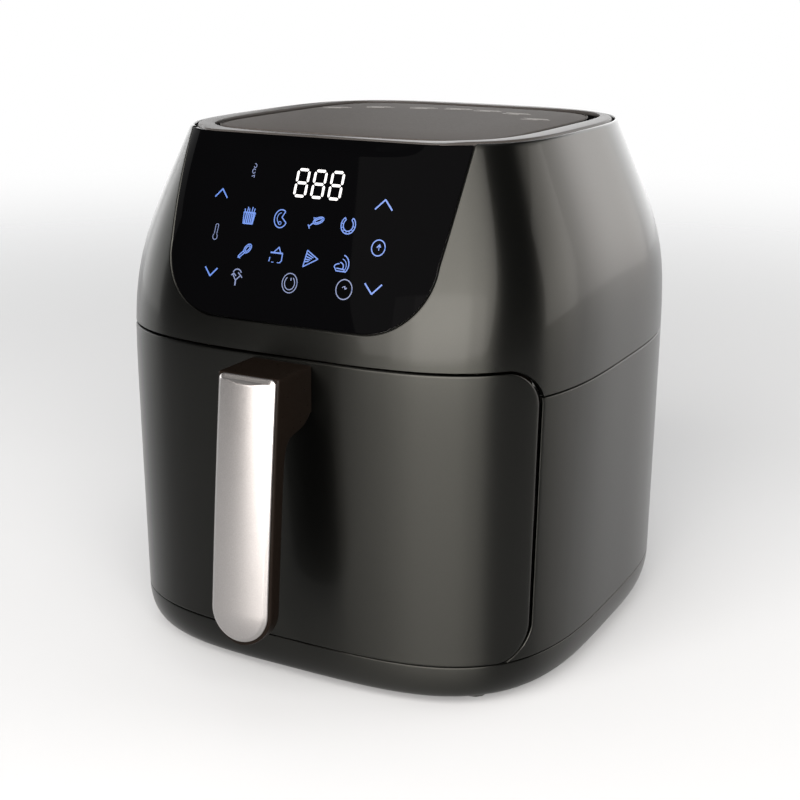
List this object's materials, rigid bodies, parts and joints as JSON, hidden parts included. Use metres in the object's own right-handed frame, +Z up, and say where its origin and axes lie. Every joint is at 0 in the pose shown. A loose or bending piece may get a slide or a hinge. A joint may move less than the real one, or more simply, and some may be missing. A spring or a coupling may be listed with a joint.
{
  "type": "air fryer",
  "caption": "Countertop drawer air fryer: rounded body narrowing to a flat top, sloping black touch panel, pull-out pan with lift-out crisper plate, upright curved handle.",
  "frame": {"origin": "on the worktop, under the middle of the overall box of body, handle and air outlet", "axes": "+Z up; the front with its handle faces -Y; +X is to the right seen from the front"},
  "size_m": [0.3026, 0.3822, 0.327],
  "materials": {
    "graphite_shell": "metallic graphite paint, fine grain",
    "black_plastic": "smooth black",
    "dark_plastic": "fine matte grain",
    "control_glass": "polished, opaque black behind",
    "satin_silver": "satin silver paint",
    "steel": "plain sheet steel",
    "non_stick": "dark non-stick coating",
    "rubber": "matte",
    "circuit_board": "green solder mask",
    "copper_winding": "enamelled copper wire",
    "bronze_bearing": "sintered bronze"
  },
  "bodies": {
    "housing": {"base_cover": "graphite_shell", "lower_housing": "graphite_shell", "upper_housing": "graphite_shell", "top_ring": "graphite_shell", "top_frame": "dark_plastic", "top_plate": "dark_plastic", "foot_1": "rubber", "foot_2": "rubber", "foot_3": "rubber", "foot_4": "rubber", "base_screw_1": "steel", "base_screw_2": "steel", "base_screw_3": "steel", "base_screw_4": "steel", "control_glass": "control_glass", "control_bracket": "dark_plastic", "control_board": "circuit_board", "display_module": "dark_plastic", "chamber": "steel", "guide_rail_left": "dark_plastic", "guide_rail_right": "dark_plastic", "reflector": "steel", "heater_guard": "steel", "heater_element": "steel", "heat_shield": "steel", "motor_bracket": "steel", "motor_stator": "copper_winding", "motor_cap": "steel", "lower_bearing": "bronze_bearing", "upper_bearing": "bronze_bearing", "power_board": "circuit_board", "thermal_cutout": "steel", "temperature_sensor": "steel", "drawer_switch": "dark_plastic", "exhaust_duct": "dark_plastic", "rear_outlet": "black_plastic", "cord_gland": "rubber"},
    "drawer": {"drawer_front": "graphite_shell", "drawer_inner_panel": "black_plastic", "pan": "non_stick", "handle_body": "black_plastic", "handle_cover": "satin_silver", "handle_screw_1": "steel", "handle_screw_2": "steel"},
    "crisper": {"crisper_plate": "non_stick", "crisper_bumper_1": "rubber", "crisper_bumper_2": "rubber", "crisper_bumper_3": "rubber", "crisper_bumper_4": "rubber"},
    "rotor": {"motor_shaft": "steel", "motor_rotor": "steel", "hot_air_fan": "steel", "fan_nut": "steel", "cooling_fan": "dark_plastic"},
    "plunger": {"switch_plunger": "dark_plastic"}
  },
  "joints": [
    {"name": "drawer_slide", "type": "slide", "parent": "housing", "child": "drawer", "axis": [0, -1, 0], "range_m": [0, 0.28]},
    {"name": "crisper_lift", "type": "slide", "parent": "drawer", "child": "crisper", "axis": [0, 0, 1], "range_m": [0, 0.1]},
    {"name": "fan_spin", "type": "hinge", "parent": "housing", "child": "rotor", "pos_m": [0, 0.0291, 0.223], "axis": [0, 0, 1], "continuous": true},
    {"name": "switch_press", "type": "slide", "parent": "housing", "child": "plunger", "axis": [0, 1, 0], "range_m": [0, 0.0025], "stiffness_N_per_m": 200}
  ]
}
